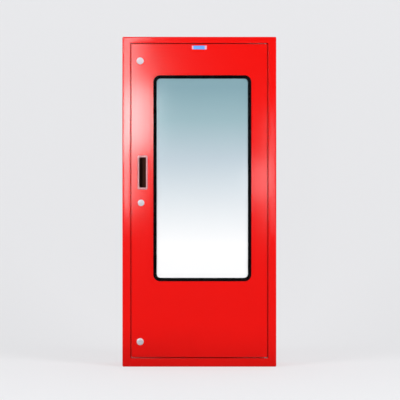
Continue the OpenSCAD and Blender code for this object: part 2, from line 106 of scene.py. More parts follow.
class CabinetSizes(PropertyGroup):
    sheet: length("Sheet", "Thickness of the sheet steel", 1.5 * MM)
    bend: length("Outer bend", "Radius of the cabinet's front edges", 5 * MM)
    lip_bend: length("Lip bend", "Radius of the edge round the door opening", 1.6 * MM)
    door_bend: length("Door bend", "Radius of the door's front edges", 1.8 * MM)
    flange: length("Pan flange", "Width of the flange round the back of the door", 12 * MM)
    corner: length("Window corner", "Radius of the rubber's outer corners", 30 * MM)
    machined: length("Machined edge", "Width of the broken edge on turned and cut parts", 0.6 * MM)
    cast: length("Cast edge", "Width of the rounded edge on castings", 1.6 * MM)
    hub: length("Hub bore", "Radius of the hole in the reel's discs", 17.05 * MM)
    bore: length("Barrel bore", "Radius of the hole in the lock's and latches' barrels", 7.05 * MM)
    barrel: length("Barrel", "Radius of the lock's and latches' threaded barrels", 11 * MM)
    pitch: length("Thread pitch", "Pitch of the barrels' thread", 1.5 * MM)
    cup_wall: length("Cup wall", "Thickness of the pull's moulded cup", 2 * MM)
    rubber_face: length("Rubber face", "Width of the window rubber seen from the front", 15 * MM)
    fine: length("Fine edge", "Width of the broken edge on sheet and small parts", 0.4 * MM)
    steps: IntProperty(name="Corner steps", description="Faces round a quarter corner",
                       default=10, min=3, max=24)


class CabinetColours(PropertyGroup):
    paint: colour("Paint", "Powder coat of the cabinet and the door", linear(232, 9, 4))
    pipe: colour("Pipes", "Enamel of the pipes", linear(150, 18, 14))
    wheel: colour("Wheels", "Enamel of the handwheel, the lever and the reel", linear(190, 22, 16))
    rubber: colour("Rubber", "Window rubber and buffers", linear(6, 6, 8))
    cup: colour("Cup", "Moulded cup of the pull", linear(52, 24, 16))
    chrome: colour("Chrome", "Plated fittings on the door", linear(246, 238, 246))
    # Painted reflection: the bezel's pink stands in for the red door that its chrome mirrors.
    bezel: colour("Bezel", "Polished surround of the pull", linear(252, 186, 188))
    zinc: colour("Zinc", "Plated steel parts", linear(186, 188, 190))
    brass: colour("Brass", "Cast and turned valve parts", linear(196, 158, 84))
    badge: colour("Badge", "Blue of the blank badge", linear(98, 162, 238))
    badge_end: colour("Badge end", "Pale end of the badge", linear(240, 168, 190))
    # Painted reflection: these four glass colours, grey-blue at the head to white at the foot, stand
    # in for what the pane mirrors.
    glass_top: colour("Glass, top", "Tint at the head of the window", linear(130, 162, 171))
    glass_high: colour("Glass, upper", "Tint of the upper part", linear(152, 180, 187))
    glass_mid: colour("Glass, middle", "Tint at mid height", linear(188, 202, 210))
    glass_low: colour("Glass, foot", "Tint of the lower part", linear(250, 250, 250))


class CabinetStage(PropertyGroup):
    backdrop: colour("Backdrop", "Floor and wall", linear(141, 142, 144))
    lens: FloatProperty(name="Lens", description="Focal length in millimetres",
                        default=150, min=20, max=300, subtype="DISTANCE_CAMERA")
    field: length("Field", "Width of the view at the cabinet's face", 1.818)
    eye_across: length("Eye, across", "Camera's place across the cabinet", 0.003)
    eye_height: length("Eye height", "Height of the camera over the floor", 0.758)
    key: FloatProperty(name="Key", description="Power of the main softbox", default=212, min=0)
    lift: FloatProperty(name="Lift", description="Light that the backdrop gives of itself",
                        default=0.565, min=0)
    room: FloatProperty(name="Room", description="Light from the room", default=0.4, min=0)
    dim: FloatProperty(name="Dim", description="Light from behind the camera", default=0.03, min=0)


# ------------------------------------------------------------------ node groups

def make_group(name, inputs, outputs):
    """New shader node group with (name, type, default) inputs and (name, type) outputs."""
    group = bpy.data.node_groups.new(name, "ShaderNodeTree")
    for label, kind, default in inputs:
        socket = group.interface.new_socket(label, in_out="INPUT", socket_type=kind)
        socket.default_value = default
    for label, kind in outputs:
        group.interface.new_socket(label, in_out="OUTPUT", socket_type=kind)
    ends = group.nodes.new("NodeGroupInput"), group.nodes.new("NodeGroupOutput")
    return group, ends[0], ends[1]


def add(tree, kind, links=None, **settings):
    """New node; settings with an underscore for a space set sockets, the others its options."""
    node = tree.nodes.new(kind)
    for key, value in settings.items():
        if hasattr(node, key):
            setattr(node, key, value)
        else:
            node.inputs[key.replace("_", " ")].default_value = value
    for key, source in (links or {}).items():
        tree.links.new(source, node.inputs[key])
    return node


def maths(tree, operation, *values, **options):
    """Output of a Math node; a value is a socket to link or a number to set."""
    node = add(tree, "ShaderNodeMath", operation=operation, **options)
    for place, value in enumerate(values):
        if isinstance(value, bpy.types.NodeSocket):
            tree.links.new(value, node.inputs[place])
        else:
            node.inputs[place].default_value = value
    return node.outputs[0]


def spread(tree, value, start, end):
    """Output of a Map Range node that takes start to 0 and end to 1."""
    node = add(tree, "ShaderNodeMapRange", {"Value": value})
    node.inputs["From Min"].default_value = start
    node.inputs["From Max"].default_value = end
    return node.outputs[0]


def place_on(tree):
    """The shaded point in the object's own metres."""
    return add(tree, "ShaderNodeTexCoord").outputs["Object"]


def group_orange_peel():
    """Height of sprayed or powder-coated paint: fine dimples over a slow ripple."""
    group, start, end = make_group(
        "orange_peel",
        [("Dimple", FLOAT, 900.0), ("Ripple", FLOAT, 9.0), ("Ripple share", FLOAT, 0.5)],
        [("Height", FLOAT)])
    place = place_on(group)
    fine = add(group, "ShaderNodeTexNoise", {"Vector": place, "Scale": start.outputs["Dimple"]},
               Detail=2.0, Roughness=0.5)
    slow = add(group, "ShaderNodeTexNoise", {"Vector": place, "Scale": start.outputs["Ripple"]},
               Detail=1.0, Roughness=0.4)
    mixed = add(group, "ShaderNodeMix", {"Factor": start.outputs["Ripple share"],
                                         "A": fine.outputs["Fac"], "B": slow.outputs["Fac"]})
    group.links.new(mixed.outputs["Result"], end.inputs["Height"])
    return group


def group_tone_drift():
    """Colour that drifts a little from place to place, with settled dust on upward faces."""
    group, start, end = make_group(
        "tone_drift",
        [("Colour", "NodeSocketColor", (0.5, 0.5, 0.5, 1)), ("Scale", FLOAT, 6.0),
         ("Amount", FLOAT, 0.1), ("Dust", FLOAT, 0.25)],
        [("Colour", "NodeSocketColor"), ("Dust", FLOAT)])
    place = place_on(group)
    cloud = add(group, "ShaderNodeTexNoise", {"Vector": place, "Scale": start.outputs["Scale"]},
                Detail=5.0, Roughness=0.6)
    swing = maths(group, "SUBTRACT", cloud.outputs["Fac"], 0.5)
    value = maths(group, "MULTIPLY_ADD", swing, start.outputs["Amount"], 1.0)
    toned = add(group, "ShaderNodeHueSaturation",
                {"Value": value, "Color": start.outputs["Colour"]})
    up = add(group, "ShaderNodeSeparateXYZ",
             {0: add(group, "ShaderNodeNewGeometry").outputs["Normal"]})
    upward = spread(group, up.outputs["Z"], 0.6, 1.0)
    grit = add(group, "ShaderNodeTexNoise", {"Vector": place}, Scale=60.0, Detail=6.0)
    settled = maths(group, "MULTIPLY", upward, grit.outputs["Fac"])
    dust = maths(group, "MULTIPLY", settled, start.outputs["Dust"])
    dusty = group.nodes.new("ShaderNodeMix")
    dusty.data_type = "RGBA"
    group.links.new(dust, dusty.inputs["Factor"])
    group.links.new(toned.outputs[0], dusty.inputs[6])
    dusty.inputs[7].default_value = (0.42, 0.39, 0.35, 1)
    group.links.new(dusty.outputs[2], end.inputs["Colour"])
    group.links.new(dust, end.inputs["Dust"])
    return group


def group_surface_marks():
    """Roughness that varies with rubbing and hairline scratches."""
    group, start, end = make_group(
        "surface_marks",
        [("Roughness", FLOAT, 0.3), ("Smear", FLOAT, 0.08), ("Scratches", FLOAT, 0.1)],
        [("Roughness", FLOAT), ("Scratch", FLOAT)])
    place = place_on(group)
    smear = add(group, "ShaderNodeTexNoise", {"Vector": place}, Scale=14.0, Detail=6.0)
    centred = maths(group, "SUBTRACT", smear.outputs["Fac"], 0.5)
    smeared = maths(group, "MULTIPLY", centred, start.outputs["Smear"])
    stretched = add(group, "ShaderNodeMapping", {"Vector": place})
    stretched.inputs["Scale"].default_value = (260, 260, 9)
    hair = add(group, "ShaderNodeTexNoise", {"Vector": stretched.outputs[0]}, Scale=1.0, Detail=3.0)
    thin = spread(group, hair.outputs["Fac"], 0.66, 0.74)
    scratch = maths(group, "MULTIPLY", thin, start.outputs["Scratches"])
    total = maths(group, "ADD", smeared, scratch)
    rough = maths(group, "ADD", total, start.outputs["Roughness"], use_clamp=True)
    group.links.new(rough, end.inputs["Roughness"])
    group.links.new(scratch, end.inputs["Scratch"])
    return group


def group_cast_skin():
    """Height of a sand-cast or forged skin: grains over lumps."""
    group, start, end = make_group(
        "cast_skin", [("Grain", FLOAT, 700.0), ("Lumps", FLOAT, 60.0)], [("Height", FLOAT)])
    place = place_on(group)
    grain = add(group, "ShaderNodeTexVoronoi", {"Vector": place, "Scale": start.outputs["Grain"]})
    lumps = add(group, "ShaderNodeTexNoise", {"Vector": place, "Scale": start.outputs["Lumps"]},
                Detail=4.0)
    mixed = add(group, "ShaderNodeMix", {"A": grain.outputs["Distance"],
                                         "B": lumps.outputs["Fac"]})
    mixed.inputs["Factor"].default_value = 0.6
    group.links.new(mixed.outputs["Result"], end.inputs["Height"])
    return group


def group_edge_wear():
    """Mask along outside edges, broken up so that it reads as rubbing."""
    group, start, end = make_group(
        "edge_wear", [("Width", FLOAT, 0.0015), ("Amount", FLOAT, 0.4)], [("Mask", FLOAT)])
    rounded = add(group, "ShaderNodeBevel", {"Radius": start.outputs["Width"]}, samples=4)
    flat = add(group, "ShaderNodeNewGeometry")
    match = add(group, "ShaderNodeVectorMath",
                {0: rounded.outputs[0], 1: flat.outputs["Normal"]}, operation="DOT_PRODUCT")
    edge = spread(group, match.outputs["Value"], 0.995, 0.86)
    place = place_on(group)
    patches = add(group, "ShaderNodeTexNoise", {"Vector": place}, Scale=45.0, Detail=5.0)
    rubbed = spread(group, patches.outputs["Fac"], 0.42, 0.62)
    both = maths(group, "MULTIPLY", edge, rubbed)
    mask = maths(group, "MULTIPLY", both, start.outputs["Amount"], use_clamp=True)
    group.links.new(mask, end.inputs["Mask"])
    return group


def group_foot_shade():
    """Painted shade: colour that deepens towards the floor, standing in for the light that falls off
    there.
    """
    group, start, end = make_group(
        "foot_shade",
        [("Colour", "NodeSocketColor", (0.5, 0.5, 0.5, 1)), ("Height", FLOAT, 0.5),
         ("Depth", FLOAT, 0.2)],
        [("Colour", "NodeSocketColor")])
    place = place_on(group)
    level = add(group, "ShaderNodeSeparateXYZ", {0: place})
    cloud = add(group, "ShaderNodeTexNoise", {"Vector": place}, Scale=4.0, Detail=4.0)
    waver = maths(group, "MULTIPLY_ADD", cloud.outputs["Fac"], 0.12, level.outputs["Z"])
    low = add(group, "ShaderNodeMapRange", {"Value": waver, "From Min": start.outputs["Height"]},
              interpolation_type="SMOOTHSTEP")
    low.inputs["From Max"].default_value = 0.0
    loss = maths(group, "MULTIPLY", low.outputs[0], start.outputs["Depth"])
    value = maths(group, "SUBTRACT", 1.0, loss)
    toned = add(group, "ShaderNodeHueSaturation",
                {"Value": value, "Color": start.outputs["Colour"]})
    group.links.new(toned.outputs[0], end.inputs["Colour"])
    return group


GROUPS = {}


def effect(tree, name, links=None, **values):
    """Places one of the shared node groups in a material's tree."""
    makers = {"orange_peel": group_orange_peel, "tone_drift": group_tone_drift,
              "surface_marks": group_surface_marks, "cast_skin": group_cast_skin,
              "edge_wear": group_edge_wear, "foot_shade": group_foot_shade}
    if name not in GROUPS:
        GROUPS[name] = makers[name]()
    node = tree.nodes.new("ShaderNodeGroup")
    node.node_tree = GROUPS[name]
    for key, value in values.items():
        node.inputs[key.replace("_", " ")].default_value = value
    for key, source in (links or {}).items():
        tree.links.new(source, node.inputs[key])
    return node


# -------------------------------------------------------------------- materials

def start_material(name):
    """New material with an empty tree but for its Principled shader and its output."""
    material = bpy.data.materials.new(name)
    material.use_nodes = True
    tree = material.node_tree
    shader = tree.nodes["Principled BSDF"]
    return material, tree, shader


def bump(tree, shader, height, distance):
    """Feeds the shader's normal from a height; the distance is in metres."""
    node = add(tree, "ShaderNodeBump", {"Height": height}, Strength=1.0, Distance=distance)
    tree.links.new(node.outputs["Normal"], shader.inputs["Normal"])


def rubbed_gloss(tree, shader, roughness, smear, scratches):
    """Feeds the shader's roughness and puts out the scratches' mask."""
    marks = effect(tree, "surface_marks", Roughness=roughness, Smear=smear, Scratches=scratches)
    tree.links.new(marks.outputs["Roughness"], shader.inputs["Roughness"])
    return marks.outputs["Scratch"]


def worn(tree, shader, colour, rubbed, amount, width=1.2 * MM):
    """Feeds the base colour, turned towards the rubbed colour along the edges."""
    wear = effect(tree, "edge_wear", Width=width, Amount=amount)
    mix = tree.nodes.new("ShaderNodeMix")
    mix.data_type = "RGBA"
    tree.links.new(wear.outputs["Mask"], mix.inputs["Factor"])
    tree.links.new(colour, mix.inputs[6])
    mix.inputs[7].default_value = (*rubbed, 1)
    tree.links.new(mix.outputs[2], shader.inputs["Base Color"])


def painted(name, tint, roughness, coat, dimple, depth, drift=0.06, dust=0.15, foot=0.0):
    """Paint over metal: orange peel, a little drift in tone, dust on what faces up."""
    material, tree, shader = start_material(name)
    # Painted shade: below Height the colour darkens towards the floor by foot, where the light falls
    # off.
    shade = effect(tree, "foot_shade", Colour=(*tint, 1), Height=0.27, Depth=foot)
    tone = effect(tree, "tone_drift", {"Colour": shade.outputs["Colour"]}, Scale=5.0,
                  Amount=drift, Dust=dust)
    rubbed_gloss(tree, shader, roughness, 0.05, 0.06)
    peel = effect(tree, "orange_peel", Dimple=dimple, Ripple=7.0, Ripple_share=0.35)
    pale = [channel * 0.7 + 0.12 for channel in tint]
    worn(tree, shader, tone.outputs["Colour"], pale, 0.25)
    shader.inputs["Coat Weight"].default_value = coat
    shader.inputs["Coat Roughness"].default_value = 0.1
    shader.inputs["Specular IOR Level"].default_value = 0.06
    bump(tree, shader, peel.outputs["Height"], depth)
    return material


def plated(name, tint, roughness, smear, metal=1.0):
    """Bright or dull plating with hairlines; below 1, metal lets a pale lacquer show."""
    material, tree, shader = start_material(name)
    tone = effect(tree, "tone_drift", Colour=(*tint, 1), Scale=20.0, Amount=0.08, Dust=0.1)
    scratch = rubbed_gloss(tree, shader, roughness, smear, 0.15)
    bright = [min(channel * 1.25, 1.0) for channel in tint]
    worn(tree, shader, tone.outputs["Colour"], bright, 0.6, 0.6 * MM)
    shader.inputs["Metallic"].default_value = metal
    bump(tree, shader, scratch, 0.02 * MM)
    return material


def cast_brass(name, tint):
    """Brass with a cast skin that dulls towards brown in patches."""
    material, tree, shader = start_material(name)
    tone = effect(tree, "tone_drift", Colour=(*tint, 1), Scale=28.0, Amount=0.35, Dust=0.15)
    rubbed_gloss(tree, shader, 0.34, 0.2, 0.1)
    skin = effect(tree, "cast_skin", Grain=650.0, Lumps=70.0)
    bright = [min(channel * 1.35, 1.0) for channel in tint]
    worn(tree, shader, tone.outputs["Colour"], bright, 0.8)
    shader.inputs["Metallic"].default_value = 1.0
    bump(tree, shader, skin.outputs["Height"], 0.12 * MM)
    return material


def moulded(name, tint, roughness, grain=1400.0):
    """Moulded rubber or plastic with a fine matt grain."""
    material, tree, shader = start_material(name)
    tone = effect(tree, "tone_drift", Colour=(*tint, 1), Scale=30.0, Amount=0.2, Dust=0.2)
    rubbed_gloss(tree, shader, roughness, 0.12, 0.05)
    shader.inputs["Specular IOR Level"].default_value = 0.06
    skin = effect(tree, "cast_skin", Grain=grain, Lumps=200.0)
    chalk = [channel * 1.5 + 0.01 for channel in tint]
    worn(tree, shader, tone.outputs["Colour"], chalk, 0.5)
    bump(tree, shader, skin.outputs["Height"], 0.04 * MM)
    return material


def glass_with_painted_reflection(name, colours):
    """Obscured glass with a painted reflection: its colour pales from grey-blue at the head of the
    window to white at its foot.
    """
    material, tree, shader = start_material(name)
    low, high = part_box("window_glass")
    place = add(tree, "ShaderNodeSeparateXYZ", {0: place_on(tree)})
    level = spread(tree, place.outputs["Z"], low.z, high.z)
    # Painted reflection, graded by height up the pane.
    ramp = add(tree, "ShaderNodeValToRGB", {"Fac": level})
    stops = ramp.color_ramp.elements
    stops[0].position, stops[0].color = 0.17, (*colours.glass_low, 1)
    stops[1].position, stops[1].color = 0.95, (*colours.glass_top, 1)
    stops.new(0.59).color = (*colours.glass_mid, 1)
    stops.new(0.79).color = (*colours.glass_high, 1)
    rubbed_gloss(tree, shader, 0.07, 0.05, 0.02)
    ripple = effect(tree, "orange_peel", Dimple=40.0, Ripple=3.0, Ripple_share=0.7)
    tree.links.new(ramp.outputs["Color"], shader.inputs["Base Color"])
    shader.inputs["Coat Weight"].default_value = 0.4
    shader.inputs["Coat Roughness"].default_value = 0.03
    bump(tree, shader, ripple.outputs["Height"], 0.03 * MM)
    return material


def printed_badge(name, colours):
    """Blue printed plate with a pale end, blank."""
    material, tree, shader = start_material(name)
    low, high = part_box("nameplate")
    place = add(tree, "ShaderNodeSeparateXYZ", {0: place_on(tree)})
    across = spread(tree, place.outputs["X"], low.x, high.x)
    ramp = add(tree, "ShaderNodeValToRGB", {"Fac": across})
    bands = ramp.color_ramp
    bands.interpolation = "CONSTANT"
    bands.elements[0].color = (*colours.badge_end, 1)
    bands.elements[1].position = 0.86
    bands.elements[1].color = (*colours.badge_end, 1)
    bands.elements.new(0.1).color = (*colours.badge, 1)
    rubbed_gloss(tree, shader, 0.3, 0.1, 0.1)
    peel = effect(tree, "orange_peel", Dimple=1500.0, Ripple=30.0, Ripple_share=0.2)
    worn(tree, shader, ramp.outputs["Color"], (0.8, 0.8, 0.8), 0.5, 0.4 * MM)
    bump(tree, shader, peel.outputs["Height"], 0.02 * MM)
    return material


MATERIALS = {}


def finish_of(slot):
    """Material of a slot of the record, or the bezel's polish, made when it is first wanted."""
    colours = bpy.context.scene.cabinet_colours
    if slot not in MATERIALS:
        makers = {
            # foot sets the painted shade that darkens the red towards the floor.
            "red_paint": lambda: painted("red_powder_coat", colours.paint, roughness=0.3, coat=1.0,
                                         dimple=420.0, depth=0.05 * MM, foot=0.28),
            "pipe_paint": lambda: painted("pipe_enamel", colours.pipe, roughness=0.38, coat=0.2,
                                          dimple=700.0, depth=0.12 * MM, drift=0.2, dust=0.35),
            "wheel_paint": lambda: painted("wheel_enamel", colours.wheel, roughness=0.33, coat=0.25,
                                           dimple=700.0, depth=0.1 * MM, drift=0.14, dust=0.3),
            "zinc_steel": lambda: plated("zinc_plating", colours.zinc, roughness=0.36, smear=0.16),
            "chrome": lambda: plated("satin_chrome", colours.chrome, roughness=0.42, smear=0.08,
                                     metal=0.65),
            # Chrome tinted pink as a painted reflection of the red door round the bezel; metal below
            # 1 lets it show on the flats.
            "polished": lambda: plated("polished_chrome_with_painted_reflection", colours.bezel, roughness=0.25, smear=0.05,
                                       metal=0.62),
            "brass": lambda: cast_brass("valve_brass", colours.brass),
            "black_rubber": lambda: moulded("soft_rubber", colours.rubber, roughness=0.28),
            "black_plastic": lambda: moulded("cup_plastic", colours.cup, roughness=0.5, grain=900.0),
            # The window's colour is a painted reflection.
            "window_glass": lambda: glass_with_painted_reflection("glass_with_painted_reflection", colours),
            "blue_plate": lambda: printed_badge("badge_print", colours),
        }
        MATERIALS[slot] = makers[slot]()
    return MATERIALS[slot]


# ------------------------------------------------------------------ mesh helpers

def body_of_node(node):
    """Name of the CAD body that holds a node."""
    return next(body for body, nodes in BODIES.items() if node in nodes)


def link_mesh(name, bm):
    """Object at the origin from a bmesh, with smooth faces and sharp edges marked."""
    bmesh.ops.recalc_face_normals(bm, faces=bm.faces)
    for face in bm.faces:
        face.smooth = True
    for edge in bm.edges:
        edge.smooth = not (edge.is_manifold and edge.calc_face_angle(0) > SHARP)
    mesh = bpy.data.meshes.new(name)
    bm.to_mesh(mesh)
    bm.free()
    piece = bpy.data.objects.new(name, mesh)
    bpy.context.scene.collection.objects.link(piece)
    return piece


def hand_over(piece, *nodes, look=None):
    """Gives a finished piece its material, its body and the CAD nodes that it stands for."""
    slot = SLOTS[nodes[0]]
    piece.data.materials.clear()
    piece.data.materials.append(finish_of(look or slot))
    even = piece.modifiers.new("even_normals", "WEIGHTED_NORMAL")
    even.keep_sharp = True
    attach(piece, body_of_node(nodes[0]))
    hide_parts(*nodes)
    return piece


def discard(piece):
    """Removes an object and its mesh."""
    mesh = piece.data
    bpy.data.objects.remove(piece)
    bpy.data.meshes.remove(mesh)


def verts_of(geom):
    """The vertices in what a bmesh operator returns."""
    return [item for item in geom if isinstance(item, bmesh.types.BMVert)]


def apply_modifiers(piece):
    """Puts the result of a piece's modifiers into its mesh and marks its sharp edges again."""
    graph = bpy.context.evaluated_depsgraph_get()
    mesh = bpy.data.meshes.new_from_object(piece.evaluated_get(graph))
    name = piece.name
    bm = bmesh.new()
    bm.from_mesh(mesh)
    bpy.data.meshes.remove(mesh)
    discard(piece)
    return link_mesh(name, bm)


def with_wall(piece, thickness):
    """Gives an open sheet its thickness, inwards."""
    wall = piece.modifiers.new("wall", "SOLIDIFY")
    wall.thickness = thickness
    wall.offset = -1
    wall.use_even_offset = True
    return apply_modifiers(piece)


def cut_away(piece, cutters):
    """Cuts the cutters' shapes out of a piece and removes them."""
    for cutter in cutters:
        hole = piece.modifiers.new("hole", "BOOLEAN")
        hole.operation = "DIFFERENCE"
        hole.solver = "EXACT"
        hole.object = cutter
    piece = apply_modifiers(piece)
    for cutter in cutters:
        discard(cutter)
    return piece


def box_bmesh(low, high):
    """bmesh of a box between two corners."""
    bm = bmesh.new()
    bmesh.ops.create_cube(bm, size=1.0)
    low, high = Vector(low), Vector(high)
    bmesh.ops.scale(bm, vec=high - low, verts=bm.verts)
    bmesh.ops.translate(bm, vec=(low + high) / 2, verts=bm.verts)
    return bm


def facing(bm, direction):
    """The face of a box whose normal points in a direction."""
    bm.normal_update()
    return max(bm.faces, key=lambda face: face.normal.dot(Vector(direction)))


def round_edges(bm, edges, radius, segments=3):
    """Bevels edges to a round of the given radius."""
    bmesh.ops.bevel(bm, geom=list(edges), offset=radius, segments=segments, profile=0.5,
                    affect="EDGES", material=-1, clamp_overlap=True)


def outline(bm, centre, loop, steps):
    """Edges of a rectangle with round corners, (width, height, radius, y), standing at y."""
    width, height, radius, y = loop
    corners = [bm.verts.new((centre[0] + sx * width / 2, y, centre[1] + sz * height / 2))
               for sx, sz in ((-1, -1), (1, -1), (1, 1), (-1, 1))]
    bm.faces.new(corners)
    bmesh.ops.bevel(bm, geom=corners, offset=radius, offset_type="OFFSET", segments=steps,
                    profile=0.5, affect="VERTICES", material=-1)
    face = bm.faces[:][0]
    edges = list(face.edges)
    bmesh.ops.delete(bm, geom=[face], context="FACES_ONLY")
    return edges


def reshape(verts, centre, old, new):
    """Moves the vertices of one round-cornered outline on to those of another."""
    for vert in verts:
        for axis in (0, 1):
            along = 2 * axis
            offset = vert.co[along] - centre[axis]
            corner = (abs(offset) - (old[axis] / 2 - old[2])) / old[2]
            reach = new[axis] / 2 - new[2] + corner * new[2]
            vert.co[along] = centre[axis] + math.copysign(reach, offset)
        vert.co.y = new[3]


def sleeve(name, centre, loops, steps, closed=True):
    """Solid skinned over round-cornered outlines (width, height, radius, y).

    Closed, the last outline meets the first, as on a ring; otherwise both ends are capped."""
    bm = bmesh.new()
    ring = outline(bm, centre, loops[0], steps)
    first = ring
    stops = loops[1:] + (loops[:1] if closed else [])
    for old, new in zip(loops, stops):
        pulled = bmesh.ops.extrude_edge_only(bm, edges=ring)["geom"]
        verts = set(verts_of(pulled))
        ring = [item for item in pulled
                if isinstance(item, bmesh.types.BMEdge) and verts.issuperset(item.verts)]
        reshape(verts, centre, old, new)
    if closed:
        bmesh.ops.remove_doubles(bm, verts=bm.verts, dist=MERGE)
    else:
        bmesh.ops.contextual_create(bm, geom=first)
        bmesh.ops.contextual_create(bm, geom=ring)
    return link_mesh(name, bm)


def turned(name, centre, profile, steps=64, axis="Y"):
    """Solid turned from (radius, distance along the axis) points, closed on the axis."""
    bm = bmesh.new()
    verts = [bm.verts.new((radius, along, 0)) for radius, along in profile]
    edges = [bm.edges.new(pair) for pair in zip(verts, verts[1:])]
    bmesh.ops.spin(bm, geom=verts + edges, cent=(0, 0, 0), axis=(0, 1, 0),
                   angle=2 * math.pi, steps=steps, use_merge=True, use_duplicate=False)
    bmesh.ops.remove_doubles(bm, verts=bm.verts, dist=MERGE)
    turn = {"X": Matrix.Rotation(-math.pi / 2, 4, "Z"), "Y": Matrix.Identity(4),
            "Z": Matrix.Rotation(math.pi / 2, 4, "X")}[axis]
    bmesh.ops.transform(bm, matrix=Matrix.Translation(centre) @ turn, verts=bm.verts)
    return link_mesh(name, bm)


def rod(radius, reach):
    """Profile for turned() of a plain rod that reaches as far to both sides."""
    return [(0, -reach), (radius, -reach), (radius, reach), (0, reach)]


def finished_copy(node, edge, segments=2):
    """Copy of a CAD node with its loose triangles joined and its sharp edges rounded."""
    bm = bmesh.new()
    bm.from_mesh(frame["nodes"][node].data)
    bmesh.ops.remove_doubles(bm, verts=bm.verts, dist=2 * MERGE)
    bmesh.ops.dissolve_limit(bm, angle_limit=math.radians(0.5), verts=bm.verts, edges=bm.edges)
    bmesh.ops.recalc_face_normals(bm, faces=bm.faces)
    sharp = [e for e in bm.edges if e.is_manifold and e.calc_face_angle(0) > SHARP]
    if edge > 0:
        round_edges(bm, sharp, edge, segments)
    return hand_over(link_mesh(node + "_part", bm), node)


# --------------------------------------------------------------------- operators

class PieceOperator:
    """What the cabinet's operators share."""
    bl_options = {"REGISTER", "UNDO"}

    @property
    def sizes(self):
        return bpy.context.scene.cabinet_sizes


class CABINET_OT_shell(PieceOperator, Operator):
    """Welded body: sides, top and bottom with the face frame and its lip round the door"""
    bl_idname = "cabinet.shell"
    bl_label = "Body shell"

    def execute(self, context):
        sizes = self.sizes
        low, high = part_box("stile_left")[0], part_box("stile_right")[1]
        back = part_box("side_panel_left")[1].y
        door_left, door_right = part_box("stile_left")[1].x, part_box("stile_right")[0].x
        door_foot, door_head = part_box("sill_rail")[1].z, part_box("head_rail")[0].z
        lip_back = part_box("stile_left")[1].y
        bm = box_bmesh((low.x, low.y, low.z), (high.x, back, high.z))
        bmesh.ops.delete(bm, geom=[facing(bm, (0, 1, 0))], context="FACES_ONLY")
        front = facing(bm, (0, -1, 0))
        outer_edges = list(front.edges)
        # The inset only makes the ring of faces; its corners then move to the door opening.
        bmesh.ops.inset_region(bm, faces=[front], thickness=20 * MM, use_boundary=True,
                               use_even_offset=True)
        for vert in front.verts:
            vert.co.x = door_left if vert.co.x < 0 else door_right
            vert.co.z = door_foot if vert.co.z < high.z / 2 else door_head
        opening_edges = list(front.edges)
        lip = bmesh.ops.extrude_face_region(bm, geom=[front])["geom"]
        bmesh.ops.translate(bm, vec=(0, lip_back - low.y, 0), verts=verts_of(lip))
        bmesh.ops.delete(bm, geom=[item for item in lip if isinstance(item, bmesh.types.BMFace)],
                         context="FACES_ONLY")
        half_depth = (back - low.y) / 2
        corner_edges = [e for e in bm.edges
                        if abs(e.verts[0].co.y - e.verts[1].co.y) > half_depth]
        outer_edges = [e for e in outer_edges if e.is_valid]
        opening_edges = [e for e in opening_edges if e.is_valid]
        bmesh.ops.delete(bm, geom=[front], context="FACES_ONLY")
        round_edges(bm, outer_edges + corner_edges, sizes.bend, 4)
        opening_edges = [e for e in opening_edges if e.is_valid]
        round_edges(bm, opening_edges, sizes.lip_bend, 3)
        shell = with_wall(link_mesh("cabinet_shell", bm), sizes.sheet)
        pipe_low, pipe_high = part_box("inlet_coupling")
        centre = (pipe_low + pipe_high) / 2
        gap = 2 * MM
        radius = (pipe_high.x - pipe_low.x) / 2 + gap
        hole = turned("riser_hole", (centre.x, centre.y, high.z), rod(radius, 20 * MM), axis="Z")
        shell = cut_away(shell, [hole])
        hand_over(shell, "side_panel_left", "side_panel_right", "top_panel", "bottom_panel",
                  "stile_left", "stile_right", "head_rail", "sill_rail")
        return {"FINISHED"}


class CABINET_OT_back(PieceOperator, Operator):
    """Back panel with its four wall holes, and the strips that the door closes against"""
    bl_idname = "cabinet.back"
    bl_label = "Back panel and stops"

    def execute(self, context):
        for node in ("back_panel", "stop_left", "stop_right", "stop_top", "stop_bottom"):
            finished_copy(node, self.sizes.fine)
        return {"FINISHED"}


class CABINET_OT_hinges(PieceOperator, Operator):
    """Pivot pins, thrust washer and the bushes in the door"""
    bl_idname = "cabinet.hinges"
    bl_label = "Pivot hinges"

    def execute(self, context):
        for node in ("hinge_pins", "thrust_washer", "hinge_bushes"):
            finished_copy(node, self.sizes.fine)
        return {"FINISHED"}


class CABINET_OT_buffers(PieceOperator, Operator):
    """Rubber buffers on the stop strip"""
    bl_idname = "cabinet.buffers"
    bl_label = "Buffers"

    def execute(self, context):
        finished_copy("door_buffers", edge=0.7 * MM, segments=3)
        return {"FINISHED"}


